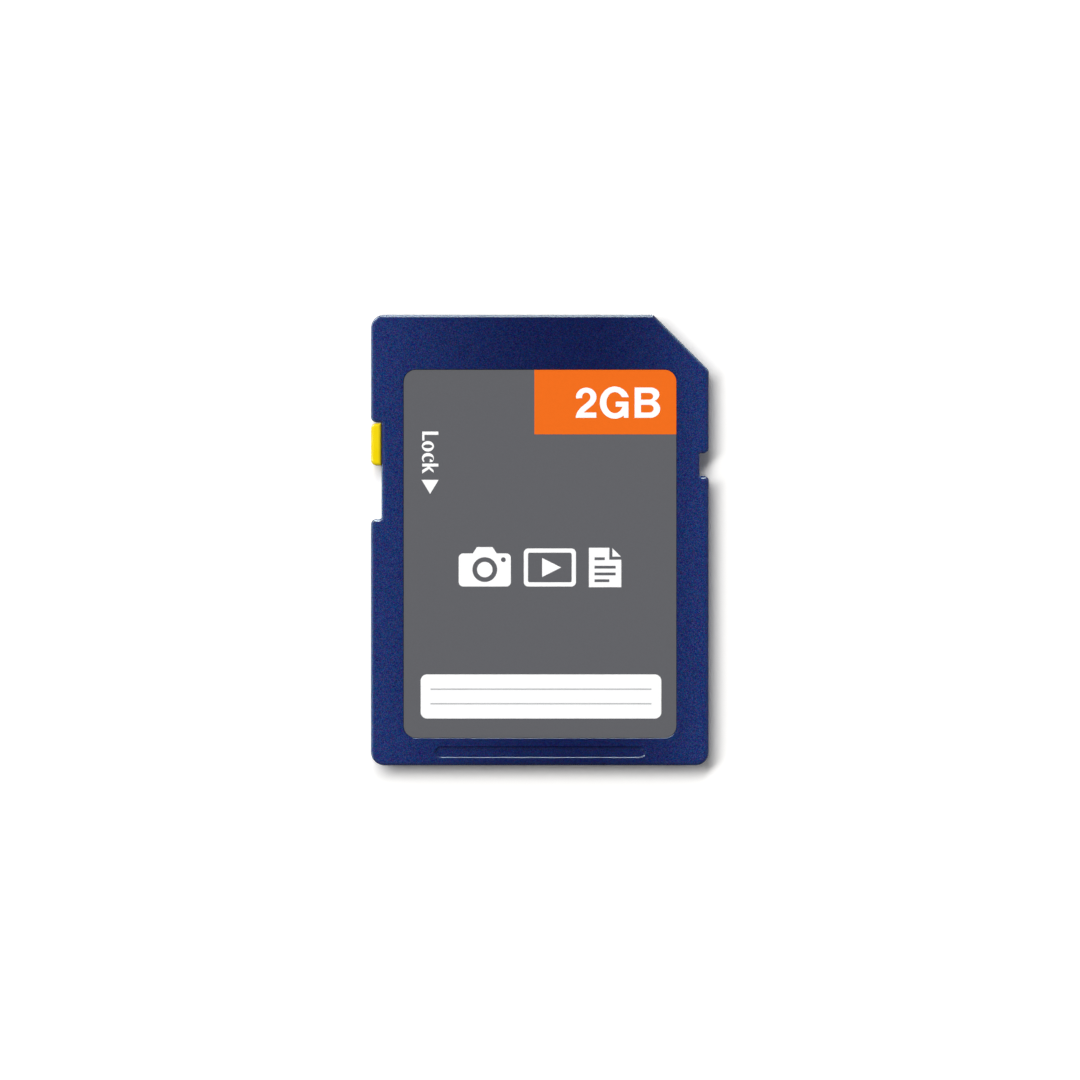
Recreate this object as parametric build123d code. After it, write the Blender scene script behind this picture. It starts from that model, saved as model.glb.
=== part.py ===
from build123d import *
import os

# Full-size memory card lying on its contact side, with the label up.
# The origin is the middle of the back face. With the label towards the viewer and the contact end up,
# +X points right, +Y points to the contact end and +Z leaves the label. Sizes are in millimetres.

# Outline of the card
CARD_WIDTH = 24.0
CARD_LENGTH = 32.0
CORNER_CUT = 3.95
CORNER_RADIUS = 0.95
CUT_RADIUS = 0.4
INNER_RADIUS = 0.1

# Layers through the card, from the back face up
CONTACT_RECESS = 0.7
BOARD_THICKNESS = 0.3
LID_GAP = 0.05
FRONT_SKIN = 0.4
BACK_SKIN = 0.3

# Shell walls and edge finish
RAIL_WIDTH = 0.75
SIDE_WALL = 1.35
LEAD_WALL = 1.1
CUT_WALL = 1.0
CAVITY_RADIUS = 0.5
FRONT_EDGE_ROUND = 0.28
BACK_EDGE_ROUND = 0.15
BACK_CORNER_RADIUS = 0.5
SEAM_BEVEL = 0.06
LEAD_TOP_BEVEL = 0.2
LEAD_BACK_BEVEL = 0.35
LIP_CUT = 0.024
LIP_TILT = 44.0
FILLET_SHARE = 0.8

# Retention notch in the right edge, measured from the contact end
NOTCH_START = 9.85
NOTCH_LENGTH = 1.6
NOTCH_DEPTH = 0.63
NOTCH_MOUTH_RADIUS = 0.35

# Lock slider and its window in the left edge, measured from the contact end
WINDOW_START = 7.65
WINDOW_MOUTH_RADIUS = 0.4
SLIDER_LENGTH = 3.0
SLIDER_TRAVEL = 3.76
SLIDER_END_GAP = 0.05
SLIDER_RUN_GAP = 0.025
SLIDER_FACE_DROP = 0.05
SLIDER_CORNER_RADIUS = 0.38
SLIDER_EDGE_ROUND = 0.24
SLIDER_WEB = 0.35
SLIDER_FLANGE = 0.5
SLIDER_FLANGE_GAP = 0.1

# Nail groove in the front face, beside the edge opposite the contacts
GROOVE_SIDE_MARGIN = 4.45
GROOVE_TRAIL_MARGIN = 0.55
GROOVE_MOUTH_WIDTH = 0.82
GROOVE_RADIUS = 0.4
GROOVE_DEPTH = 0.185
GROOVE_FLOOR_DEPTH = 0.18
GROOVE_LIP = 0.15
GROOVE_LIP_DEPTH = 0.1465
GROOVE_TO_CAVITY = 0.33

# Front label and the recess it lies in
LABEL_SIDE_MARGIN = 2.325
LABEL_LEAD_MARGIN = 3.92
LABEL_TO_GROOVE = 0.6
LABEL_THICKNESS = 0.1
LABEL_RADIUS = 0.86
LABEL_GAP = 0.04
LABEL_RECESS_DEPTH = 0.15
LABEL_RECESS_BEVEL = 0.012

# Contact pads, and the windows and ribs over them
EVEN_PADS = 8
CONTACT_LENGTH = 4.6
CONTACT_CORNER_LENGTH = 4.0
CONTACT_PLATE = 0.035
CONTACT_CORNER_RADIUS = 0.12
CONTACT_LEAD_MARGIN = 0.2
CONTACT_LEFT_MARGIN = 0.2
CONTACT_RIGHT_MARGIN = 0.35
CONTACT_PAIR_WIDTH = 1.1
CONTACT_PAIR_GAP = 0.35
CONTACT_SIDE_GAP = 0.1
CONTACT_END_GAP = 0.4
RIB_WIDTH = 0.7
RIB_SETBACK = 0.5
RIB_BEVEL = 0.35

# Circuit board, and what carries and locates it
BOARD_GAP = 0.1
BOARD_LEDGE = 0.65
CROSS_BAR = 0.7
SUPPORT_RIB_WIDTH = 0.8
POST_RADIUS = 0.4
POST_GAP = 0.05
POST_TRAIL_INSET = 1.0
POST_SIDE_INSET = 1.6
POST_LEDGE = 0.4
POST_STAND_OUT = 0.2
PEG_RADIUS = 0.5
PEG_SIDE_INSET = 1.15
PEG_LEAD_INSET = 3.6
PEG_TRAIL_INSET = 2.9

# Flash memory chip, with gull-wing leads on its two short sides
FLASH_WIDTH = 12.0
FLASH_THICKNESS = 0.6
FLASH_STANDOFF = 0.05
FLASH_TRAIL_INSET = 2.6
FLASH_LEAD_INSET = 11.0
FLASH_EDGE_BEVEL = 0.08
LEAD_PITCH = 0.5
LEAD_WIDTH = 0.2
LEAD_METAL = 0.1
LEAD_SHOULDER = 0.3
LEAD_SLOPE = 0.2
LEAD_FOOT = 0.3

# Controller chip on its flat terminals
CONTROLLER_SIZE = 5.0
CONTROLLER_THICKNESS = 0.5
CONTROLLER_GAP = 0.6
CONTROLLER_EDGE_BEVEL = 0.06
TERMINAL_PITCH = 0.5
TERMINAL_WIDTH = 0.25
TERMINAL_LENGTH = 0.45
TERMINAL_HEIGHT = 0.05

# Chip capacitors and resistors beside the controller
CHIP_PART_LENGTH = 1.0
CHIP_PART_WIDTH = 0.5
CHIP_END_CAP = 0.25
CHIP_WAIST = 0.03
CHIP_PART_PITCH = 1.0
CHIP_PART_GAP = 0.6
CAPACITOR_HEIGHT = 0.5
CAPACITOR_COUNT = 4
RESISTOR_HEIGHT = 0.35
RESISTOR_COUNT = 4

# Levels, worked out from the layers and the tallest part on the board
SEAM_Z = CONTACT_RECESS
BOARD_TOP = SEAM_Z + BOARD_THICKNESS
FLASH_TOP = BOARD_TOP + FLASH_STANDOFF + FLASH_THICKNESS
CONTROLLER_TOP = BOARD_TOP + TERMINAL_HEIGHT + CONTROLLER_THICKNESS
CEILING_Z = max(FLASH_TOP, CONTROLLER_TOP, BOARD_TOP + max(CAPACITOR_HEIGHT, RESISTOR_HEIGHT)) + LID_GAP
FRONT_Z = CEILING_Z + FRONT_SKIN
RAIL_THICKNESS = FRONT_Z - SEAM_Z

# Edges in plan; the cut corner follows x + y = CUT_SUM
LEFT = -CARD_WIDTH / 2
RIGHT = CARD_WIDTH / 2
LEAD = CARD_LENGTH / 2
TRAIL = -CARD_LENGTH / 2
DIAGONAL = 2**0.5
CUT_SUM = RIGHT + LEAD - CORNER_CUT
GROOVE_HIGH = TRAIL + GROOVE_TRAIL_MARGIN + GROOVE_MOUTH_WIDTH
CAVITY_LEFT = LEFT + SIDE_WALL
CAVITY_TRAIL = GROOVE_HIGH + GROOVE_TO_CAVITY
WINDOW_HIGH = LEAD - WINDOW_START
WINDOW_LOW = WINDOW_HIGH - SLIDER_LENGTH - SLIDER_TRAVEL - 2 * SLIDER_END_GAP
WINDOW_WALL = LEFT + RAIL_WIDTH
FLANGE_LEFT = CAVITY_LEFT + SLIDER_RUN_GAP
FLANGE_RIGHT = FLANGE_LEFT + SLIDER_FLANGE
BOARD_LEFT = CAVITY_LEFT + BOARD_GAP
BOARD_RIGHT = RIGHT - SIDE_WALL - BOARD_GAP
BOARD_LEAD = LEAD - LEAD_WALL - BOARD_GAP
BOARD_TRAIL = CAVITY_TRAIL + BOARD_GAP
BOARD_CUT_SUM = CUT_SUM - (CUT_WALL + BOARD_GAP) * DIAGONAL

# Places of the chips on the board
FLASH_LOW = BOARD_TRAIL + FLASH_TRAIL_INSET
FLASH_HIGH = BOARD_LEAD - FLASH_LEAD_INSET
LEAD_REACH = LEAD_SHOULDER + LEAD_SLOPE + LEAD_FOOT
CONTROLLER_Y = FLASH_HIGH + LEAD_REACH + CONTROLLER_GAP + CONTROLLER_SIZE / 2


def slab(outline, bottom, height):
    """A flat outline raised from one level by a height."""
    return Pos(0, 0, bottom) * extrude(outline, amount=height)


def rectangle(left, right, low, high):
    """A plain rectangle between two sides and two ends."""
    return Pos((left + right) / 2, (low + high) / 2) * Rectangle(right - left, high - low)


def rounded_rectangle(left, right, low, high, radius):
    """A rectangle between two sides and two ends, with its corners rounded."""
    return Pos((left + right) / 2, (low + high) / 2) * RectangleRounded(right - left, high - low, radius)


def rounded_outline(corners):
    """A closed outline through (x, y, radius) corners."""
    points = [(x, y) for x, y, radius in corners]
    radii = [radius for x, y, radius in corners]
    return make_face(FilletPolyline(*points, radius=radii, close=True))


def cut_corner_outline(left, right, low, high, cut_sum, radius, cut_radius):
    """A rectangle whose right corner at the contact end is cut at 45 degrees, along x + y = cut_sum."""
    return rounded_outline(
        [
            (left, low, radius),
            (right, low, radius),
            (right, cut_sum - right, cut_radius),
            (cut_sum - high, high, cut_radius),
            (left, high, radius),
        ]
    )


def mouth_radius(radius, depth):
    """The rounding at the mouth of a side cut, kept within the depth that the inner corner leaves."""
    return min(radius, FILLET_SHARE * (depth - INNER_RADIUS))


def card_outline():
    """The outline of the card, with the retention notch and the lock window."""
    notch_high = LEAD - NOTCH_START
    notch_low = notch_high - NOTCH_LENGTH
    notch_wall = RIGHT - NOTCH_DEPTH
    notch_mouth = mouth_radius(NOTCH_MOUTH_RADIUS, NOTCH_DEPTH)
    window_mouth = mouth_radius(WINDOW_MOUTH_RADIUS, RAIL_WIDTH)
    return rounded_outline(
        [
            (LEFT, TRAIL, CORNER_RADIUS),
            (RIGHT, TRAIL, CORNER_RADIUS),
            (RIGHT, notch_low, notch_mouth),
            (notch_wall, notch_low, INNER_RADIUS),
            (notch_wall, notch_high, INNER_RADIUS),
            (RIGHT, notch_high, notch_mouth),
            (RIGHT, CUT_SUM - RIGHT, CUT_RADIUS),
            (CUT_SUM - LEAD, LEAD, CUT_RADIUS),
            (LEFT, LEAD, CORNER_RADIUS),
            (LEFT, WINDOW_HIGH, window_mouth),
            (WINDOW_WALL, WINDOW_HIGH, INNER_RADIUS),
            (WINDOW_WALL, WINDOW_LOW, INNER_RADIUS),
            (LEFT, WINDOW_LOW, window_mouth),
        ]
    )


def lead_bevel(edge_y, level, size):
    """A bar turned on its edge, which bevels an edge of the contact end across the whole width."""
    return Pos(0, edge_y, level) * Rot(45, 0, 0) * Box(2 * CARD_WIDTH, DIAGONAL * size, DIAGONAL * size)


def front_edge_round():
    """The rounding of the front edges, kept within the tightest corner of the outline."""
    tightest = min(CUT_RADIUS, NOTCH_MOUTH_RADIUS, WINDOW_MOUTH_RADIUS, CORNER_RADIUS)
    return min(FRONT_EDGE_ROUND, FILLET_SHARE * tightest)


def lip_facet(left, right, edge_y):
    """A tilted block that cuts a flat facet into the rounding of a lip that faces the contact end."""
    radius = front_edge_round()
    block = Pos(0, 0, 1.5 * radius - LIP_CUT) * Box(right - left, 2 * radius, radius)
    return Pos((left + right) / 2, edge_y - radius, FRONT_Z - radius) * Rot(-LIP_TILT, 0, 0) * block


def lip_facets():
    """The facets of the lock window's and the notch's lips."""
    notch_low = LEAD - NOTCH_START - NOTCH_LENGTH
    notch_lip = RIGHT - NOTCH_DEPTH + INNER_RADIUS
    window_lip = WINDOW_WALL - INNER_RADIUS
    return [lip_facet(2 * LEFT, window_lip, WINDOW_LOW), lip_facet(notch_lip, 2 * RIGHT, notch_low)]


def label_outline(margin):
    """The outline of the front label, grown by a margin."""
    return rounded_rectangle(
        LEFT + LABEL_SIDE_MARGIN - margin,
        RIGHT - LABEL_SIDE_MARGIN + margin,
        GROOVE_HIGH + LABEL_TO_GROOVE - margin,
        LEAD - LABEL_LEAD_MARGIN + margin,
        LABEL_RADIUS + margin,
    )


def label_recess():
    """The space cut for the label, with a sloped rim."""
    floor = Pos(0, 0, FRONT_Z - LABEL_RECESS_BEVEL) * label_outline(LABEL_GAP)
    mouth = Pos(0, 0, FRONT_Z) * label_outline(LABEL_GAP + LABEL_RECESS_BEVEL)
    straight = slab(label_outline(LABEL_GAP), FRONT_Z - LABEL_RECESS_DEPTH, LABEL_RECESS_DEPTH)
    return straight + loft([floor, mouth])


def nail_groove():
    """The space cut for the nail groove.

    It is a round scoop with ball ends. From the middle of the scoop a floor rises towards the edge,
    up to a sloped lip that runs round both ends.
    """
    scoop_half = (GROOVE_DEPTH * (2 * GROOVE_RADIUS - GROOVE_DEPTH)) ** 0.5
    axis_y = GROOVE_HIGH - scoop_half
    reach = axis_y - TRAIL - GROOVE_TRAIL_MARGIN
    run = CARD_WIDTH - 2 * (GROOVE_SIDE_MARGIN + reach)
    deep_z = FRONT_Z - GROOVE_DEPTH
    lip_z = FRONT_Z - GROOVE_LIP_DEPTH
    scoop = Rot(0, 90, 0) * Cylinder(GROOVE_RADIUS, run)
    for end in (-run / 2, run / 2):
        scoop += Pos(end, 0) * Sphere(GROOVE_RADIUS)
    mouth = Pos(0, axis_y) * SlotCenterToCenter(run, 2 * reach)
    neck = Pos(0, axis_y) * SlotCenterToCenter(run, 2 * (reach - GROOVE_LIP))
    lip = loft([Pos(0, 0, lip_z) * neck, Pos(0, 0, FRONT_Z) * mouth])
    lip &= slab(rectangle(LEFT, RIGHT, TRAIL, axis_y), lip_z, GROOVE_LIP_DEPTH)
    section = Polyline(
        (LEFT, axis_y - reach + GROOVE_LIP, lip_z),
        (LEFT, axis_y, FRONT_Z - GROOVE_FLOOR_DEPTH),
        (LEFT, axis_y, lip_z),
        close=True,
    )
    floor = extrude(make_face(section), amount=CARD_WIDTH, dir=(1, 0, 0))
    floor &= slab(neck, deep_z, GROOVE_DEPTH)
    return Pos(0, axis_y, deep_z + GROOVE_RADIUS) * scoop + (lip + floor)


def peg_places():
    """Where the front shell presses on the board."""
    sides = (BOARD_LEFT + PEG_SIDE_INSET, BOARD_RIGHT - PEG_SIDE_INSET)
    ends = (BOARD_LEAD - PEG_LEAD_INSET, BOARD_TRAIL + PEG_TRAIL_INSET)
    return [(x, y) for x in sides for y in ends]


def post_places():
    """Where the back shell's posts pass through the board."""
    y = BOARD_TRAIL + POST_TRAIL_INSET
    return [(BOARD_LEFT + POST_SIDE_INSET, y), (BOARD_RIGHT - POST_SIDE_INSET, y)]


def slider_web_bottom():
    """The level of the underside of the slider's web, at the middle of the cavity's height."""
    return (SEAM_Z + CEILING_Z - SLIDER_WEB) / 2


def front_shell():
    """The label-side half of the case, as thick as the rails and as wide as the card."""
    shell = slab(card_outline(), SEAM_Z, RAIL_THICKNESS)
    shell = fillet(shell.edges().group_by(Axis.Z)[-1], front_edge_round())
    shell = chamfer(shell.edges().group_by(Axis.Z)[0], SEAM_BEVEL)
    shell -= lead_bevel(LEAD, FRONT_Z, LEAD_TOP_BEVEL)
    shell -= lead_bevel(LEAD, SEAM_Z, LEAD_BACK_BEVEL)
    shell -= lip_facets()
    cavity = cut_corner_outline(
        CAVITY_LEFT,
        RIGHT - SIDE_WALL,
        CAVITY_TRAIL,
        LEAD - LEAD_WALL,
        CUT_SUM - CUT_WALL * DIAGONAL,
        CAVITY_RADIUS,
        CAVITY_RADIUS,
    )
    shell -= slab(cavity, SEAM_Z, CEILING_Z - SEAM_Z)
    slot = rectangle(LEFT, FLANGE_RIGHT, WINDOW_LOW, WINDOW_HIGH)
    shell -= slab(slot, slider_web_bottom() - SLIDER_RUN_GAP, SLIDER_WEB + 2 * SLIDER_RUN_GAP)
    shell -= label_recess()
    shell -= nail_groove()
    for x, y in peg_places():
        shell += slab(Pos(x, y) * Circle(PEG_RADIUS), BOARD_TOP, CEILING_Z - BOARD_TOP)
    return shell


def contact_places():
    """The number, left, right, low and high edge of each pad, from the cut corner to the far side.

    The first eight are evenly spaced, the one beside the cut corner set back from it.
    The last is narrow and stands close to its neighbour.
    """
    row_left = BOARD_LEFT + CONTACT_LEFT_MARGIN
    row_right = BOARD_RIGHT - CONTACT_RIGHT_MARGIN
    even_left = row_left + CONTACT_PAIR_WIDTH + CONTACT_PAIR_GAP
    space = RIB_WIDTH + 2 * CONTACT_SIDE_GAP
    width = (row_right - even_left - (EVEN_PADS - 1) * space) / EVEN_PADS
    row_high = BOARD_LEAD - CONTACT_LEAD_MARGIN
    row_low = row_high - CONTACT_LENGTH
    corner_high = BOARD_CUT_SUM - row_right - CONTACT_LEAD_MARGIN
    corner_low = corner_high - CONTACT_CORNER_LENGTH
    places = [(EVEN_PADS + 1, row_right - width, row_right, corner_low, corner_high)]
    for number in range(1, EVEN_PADS):
        right = row_right - number * (width + space)
        places.append((number, right - width, right, row_low, row_high))
    places.append((EVEN_PADS, row_left, row_left + CONTACT_PAIR_WIDTH, row_low, row_high))
    return places


def contact_windows():
    """The outlines of the contact windows, open at the contact end; the last two pads share one."""
    windows = []
    for number, left, right, low, high in contact_places():
        window_left = left - CONTACT_SIDE_GAP
        window_right = right + CONTACT_SIDE_GAP
        if number == EVEN_PADS:
            window_right += CONTACT_PAIR_GAP
        windows.append(rectangle(window_left, window_right, low - CONTACT_END_GAP, LEAD))
    return windows


def back_shell():
    """The contact-side half of the case, narrower than the rails, with ribs between its windows."""
    outline = cut_corner_outline(
        LEFT + RAIL_WIDTH,
        RIGHT - RAIL_WIDTH,
        TRAIL,
        LEAD - RIB_SETBACK,
        CUT_SUM - RIB_SETBACK * DIAGONAL,
        BACK_CORNER_RADIUS,
        CUT_RADIUS,
    )
    shell = slab(outline, 0, SEAM_Z)
    shell = fillet(shell.edges().group_by(Axis.Z)[0], BACK_EDGE_ROUND)
    shell = chamfer(shell.edges().group_by(Axis.Z)[-1], SEAM_BEVEL)
    for window in contact_windows():
        shell -= slab(window, 0, SEAM_Z)
    shell -= lead_bevel(LEAD - RIB_SETBACK, 0, RIB_BEVEL)
    deepest = min(low for number, left, right, low, high in contact_places())
    pocket_high = deepest - CONTACT_END_GAP - CROSS_BAR
    pocket_low = BOARD_TRAIL + POST_TRAIL_INSET + POST_RADIUS + POST_LEDGE
    for pocket_left, pocket_right in (
        (BOARD_LEFT + BOARD_LEDGE, -SUPPORT_RIB_WIDTH / 2),
        (SUPPORT_RIB_WIDTH / 2, BOARD_RIGHT - BOARD_LEDGE),
    ):
        pocket = rounded_rectangle(pocket_left, pocket_right, pocket_low, pocket_high, CAVITY_RADIUS)
        shell -= slab(pocket, BACK_SKIN, SEAM_Z - BACK_SKIN)
    for x, y in post_places():
        shell += slab(Pos(x, y) * Circle(POST_RADIUS), SEAM_Z, BOARD_THICKNESS + POST_STAND_OUT)
    return shell


def lock_slider():
    """The lock tab, with a web through the window's slot and a flange that holds it in."""
    high = WINDOW_HIGH - SLIDER_END_GAP
    low = high - SLIDER_LENGTH
    tab_right = WINDOW_WALL - SLIDER_RUN_GAP
    tab_outline = rounded_outline(
        [
            (LEFT, low, SLIDER_CORNER_RADIUS),
            (tab_right, low, 0),
            (tab_right, high, 0),
            (LEFT, high, SLIDER_CORNER_RADIUS),
        ]
    )
    tab = slab(tab_outline, SEAM_Z + SLIDER_FACE_DROP, RAIL_THICKNESS - 2 * SLIDER_FACE_DROP)
    edge_round = min(SLIDER_EDGE_ROUND, FILLET_SHARE * SLIDER_CORNER_RADIUS)
    tab = fillet(tab.edges().group_by(Axis.Z)[-1], edge_round)
    tab = fillet(tab.edges().group_by(Axis.Z)[0], edge_round / 2)
    web = slab(rectangle(tab_right, FLANGE_LEFT, low, high), slider_web_bottom(), SLIDER_WEB)
    flange_outline = rectangle(FLANGE_LEFT, FLANGE_RIGHT, low, high)
    flange_height = CEILING_Z - SEAM_Z - 2 * SLIDER_FLANGE_GAP
    flange = slab(flange_outline, SEAM_Z + SLIDER_FLANGE_GAP, flange_height)
    return tab + web + flange


def front_label():
    """The printed film on the floor of the recess."""
    return slab(label_outline(0), FRONT_Z - LABEL_RECESS_DEPTH, LABEL_THICKNESS)


def circuit_board():
    """The thin board, cut away beside the slider's flange and holed for the posts."""
    board = cut_corner_outline(
        BOARD_LEFT, BOARD_RIGHT, BOARD_TRAIL, BOARD_LEAD, BOARD_CUT_SUM, CAVITY_RADIUS, CAVITY_RADIUS
    )
    board -= rectangle(LEFT, FLANGE_RIGHT + BOARD_GAP, WINDOW_LOW - BOARD_GAP, WINDOW_HIGH + BOARD_GAP)
    for x, y in post_places():
        board -= Pos(x, y) * Circle(POST_RADIUS + POST_GAP)
    return slab(board, SEAM_Z, BOARD_THICKNESS)


def contact_pad(left, right, low, high):
    """One gold-plated pad on the underside of the board."""
    outline = rounded_rectangle(left, right, low, high, CONTACT_CORNER_RADIUS)
    return slab(outline, SEAM_Z - CONTACT_PLATE, CONTACT_PLATE)


def chip_body(width, low, high, bottom, height, bevel):
    """A moulded chip package with bevelled top edges."""
    body = slab(rectangle(-width / 2, width / 2, low, high), bottom, height)
    return chamfer(body.edges().group_by(Axis.Z)[-1], bevel)


def flash_chip():
    """The moulded body of the flash memory."""
    bottom = BOARD_TOP + FLASH_STANDOFF
    return chip_body(FLASH_WIDTH, FLASH_LOW, FLASH_HIGH, bottom, FLASH_THICKNESS, FLASH_EDGE_BEVEL)


def spread(count, pitch):
    """Evenly pitched places about zero."""
    return [(index - (count - 1) / 2) * pitch for index in range(count)]


def flash_leads():
    """The gull-wing leads of the flash memory, in a row on each short side."""
    foot_top = BOARD_TOP + LEAD_METAL
    shoulder = BOARD_TOP + FLASH_STANDOFF + (FLASH_THICKNESS - LEAD_METAL) / 2
    bend = LEAD_SHOULDER + LEAD_SLOPE
    profile = make_face(
        Polyline(
            (0, shoulder + LEAD_METAL),
            (LEAD_SHOULDER, shoulder + LEAD_METAL),
            (bend, foot_top),
            (LEAD_REACH, foot_top),
            (LEAD_REACH, BOARD_TOP),
            (bend - LEAD_METAL, BOARD_TOP),
            (LEAD_SHOULDER - LEAD_METAL, shoulder),
            (0, shoulder),
            close=True,
        )
    )
    lead = extrude(Plane.YZ * profile, amount=LEAD_WIDTH / 2, both=True)
    leads_per_side = int((FLASH_WIDTH - LEAD_WIDTH) / LEAD_PITCH) + 1
    leads = []
    for x in spread(leads_per_side, LEAD_PITCH):
        leads.append(Pos(x, FLASH_HIGH) * lead)
        leads.append(Pos(x, FLASH_LOW) * Rot(0, 0, 180) * lead)
    return Compound(children=leads)


def controller_chip():
    """The moulded body of the controller."""
    return chip_body(
        CONTROLLER_SIZE,
        CONTROLLER_Y - CONTROLLER_SIZE / 2,
        CONTROLLER_Y + CONTROLLER_SIZE / 2,
        BOARD_TOP + TERMINAL_HEIGHT,
        CONTROLLER_THICKNESS,
        CONTROLLER_EDGE_BEVEL,
    )


def controller_terminals():
    """The flat terminals under the four sides of the controller."""
    row = CONTROLLER_SIZE - 2 * TERMINAL_LENGTH - TERMINAL_WIDTH
    terminals_per_side = int(row / TERMINAL_PITCH) + 1
    outward = (CONTROLLER_SIZE - TERMINAL_LENGTH) / 2
    terminals = []
    for turn in (0, 90, 180, 270):
        for along in spread(terminals_per_side, TERMINAL_PITCH):
            outline = Pos(along, outward) * Rectangle(TERMINAL_WIDTH, TERMINAL_LENGTH)
            terminal = slab(outline, BOARD_TOP, TERMINAL_HEIGHT)
            terminals.append(Pos(0, CONTROLLER_Y) * Rot(0, 0, turn) * terminal)
    return Compound(children=terminals)


def chip_part(x, y, height):
    """A chip capacitor or resistor: a block with slightly larger plated ends."""
    half = CHIP_PART_LENGTH / 2
    end_inner = half - CHIP_END_CAP
    end_side = CHIP_PART_WIDTH / 2
    waist_side = end_side - CHIP_WAIST
    part = slab(rectangle(-half, -end_inner, -end_side, end_side), BOARD_TOP, height)
    part += slab(rectangle(end_inner, half, -end_side, end_side), BOARD_TOP, height)
    waist = rectangle(-end_inner, end_inner, -waist_side, waist_side)
    part += slab(waist, BOARD_TOP + CHIP_WAIST, height - 2 * CHIP_WAIST)
    return Pos(x, y) * part


def chip_column(side, count, height):
    """A column of chip parts beside the controller; side is -1 for left and 1 for right."""
    x = side * (CONTROLLER_SIZE / 2 + CHIP_PART_GAP + CHIP_PART_LENGTH / 2)
    return [chip_part(x, CONTROLLER_Y + y, height) for y in spread(count, CHIP_PART_PITCH)]


def all_pieces():
    """Every piece of the card by its node name."""
    pieces = {
        "front_shell": front_shell(),
        "back_shell": back_shell(),
        "lock_slider": lock_slider(),
        "front_label": front_label(),
        "circuit_board": circuit_board(),
        "flash_chip": flash_chip(),
        "flash_leads": flash_leads(),
        "controller_chip": controller_chip(),
        "controller_terminals": controller_terminals(),
    }
    for number, left, right, low, high in contact_places():
        pieces[f"contact_pad_{number}"] = contact_pad(left, right, low, high)
    for number, part in enumerate(chip_column(-1, CAPACITOR_COUNT, CAPACITOR_HEIGHT), start=1):
        pieces[f"capacitor_{number}"] = part
    for number, part in enumerate(chip_column(1, RESISTOR_COUNT, RESISTOR_HEIGHT), start=1):
        pieces[f"resistor_{number}"] = part
    return pieces


os.makedirs("parts", exist_ok=True)
for name, piece in all_pieces().items():
    export_step(piece, f"parts/{name}.step")
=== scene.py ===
import math
from collections import namedtuple

import bmesh
import bpy
from bpy.props import FloatProperty, FloatVectorProperty, IntProperty, PointerProperty
from mathutils import Matrix, Vector


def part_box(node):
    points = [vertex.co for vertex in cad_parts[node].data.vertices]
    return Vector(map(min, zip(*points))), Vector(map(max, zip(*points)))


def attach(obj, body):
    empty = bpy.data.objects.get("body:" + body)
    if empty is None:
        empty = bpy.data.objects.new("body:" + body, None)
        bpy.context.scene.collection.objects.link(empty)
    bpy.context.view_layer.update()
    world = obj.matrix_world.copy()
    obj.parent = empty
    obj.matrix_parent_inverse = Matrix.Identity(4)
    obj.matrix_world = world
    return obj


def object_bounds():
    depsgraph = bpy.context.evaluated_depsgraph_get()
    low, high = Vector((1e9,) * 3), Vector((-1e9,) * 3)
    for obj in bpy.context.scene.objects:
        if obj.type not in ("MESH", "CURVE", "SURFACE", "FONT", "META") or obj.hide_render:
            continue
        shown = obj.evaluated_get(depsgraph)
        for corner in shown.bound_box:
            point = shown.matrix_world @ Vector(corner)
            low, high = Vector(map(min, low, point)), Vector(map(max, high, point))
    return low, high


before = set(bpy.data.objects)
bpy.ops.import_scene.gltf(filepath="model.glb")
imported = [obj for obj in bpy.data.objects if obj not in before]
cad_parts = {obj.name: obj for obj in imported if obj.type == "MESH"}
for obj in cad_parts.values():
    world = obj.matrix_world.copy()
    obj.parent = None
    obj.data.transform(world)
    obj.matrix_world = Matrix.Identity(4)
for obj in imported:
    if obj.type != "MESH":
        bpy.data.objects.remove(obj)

bl_info = {
    "name": "Memory Card Finish",
    "version": (1, 0, 0),
    "blender": (4, 5, 0),
    "location": "View3D > Sidebar > Memory Card",
    "description": "Gives a memory card its plastics, label print, contacts, electronics and studio",
    "category": "Object",
}

MM = 0.001
# The object's box as the CAD gives it
CAD_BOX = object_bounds()
# Places that the print and the plating start from, in metres
LABEL_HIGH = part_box("front_label")[1]
BOARD_LOW, BOARD_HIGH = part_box("circuit_board")
FIRST_PAD_LOW, FIRST_PAD_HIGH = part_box("contact_pad_1")
SECOND_PAD_LOW, SECOND_PAD_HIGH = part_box("contact_pad_2")
# Nodes that share a finish, and the number of pads with a tail, which are the evenly spaced ones
PADS = ["contact_pad_%d" % number for number in range(1, 10)]
CAPACITORS = ["capacitor_%d" % number for number in range(1, 5)]
RESISTORS = ["resistor_%d" % number for number in range(1, 5)]
TAILS = 7
# The range that most of a noise pattern lies in
NOISE_LOW = 0.3
NOISE_HIGH = 0.7
# How strongly plastic, film and ink mirror; the shader's own value is 0.5
PLASTIC_SPECULAR = 0.3
# Painted shade across the shell: palest at both long sides, deepest on a line right of the middle
PAINTED_SHADE_LEFT_END = -11.0 * MM
PAINTED_SHADE_DEEPEST = 3.0 * MM
PAINTED_SHADE_RIGHT_END = 11.3 * MM
PAINTED_SHADE_POWER = 2.0
# Shell speckle: the size of a grain, how rare red is, and how much of the blue follows the green
GRAIN = 0.045 * MM
RED_POWER = 2.5
BLUE_WITH_GREEN = 0.37
# Tracks under the solder mask: a wave about 1.4 mm long, and how much it wanders
TRACK_SCALE = 320.0
TRACK_WANDER = 1.5
# Share by which the tone of a print varies
PRINT_UNEVENNESS = 0.02
RULE_UNEVENNESS = 0.06
# Outlines are filled to sheets one unit thick, and points nearer than the weld become one
HALF_SHEET = 0.5
WELD = 1e-5
# Pictograms in millimetres: half the width and the rounding that the first two share
ICON_HALF = 1.85
ICON_CORNER = 0.32
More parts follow.
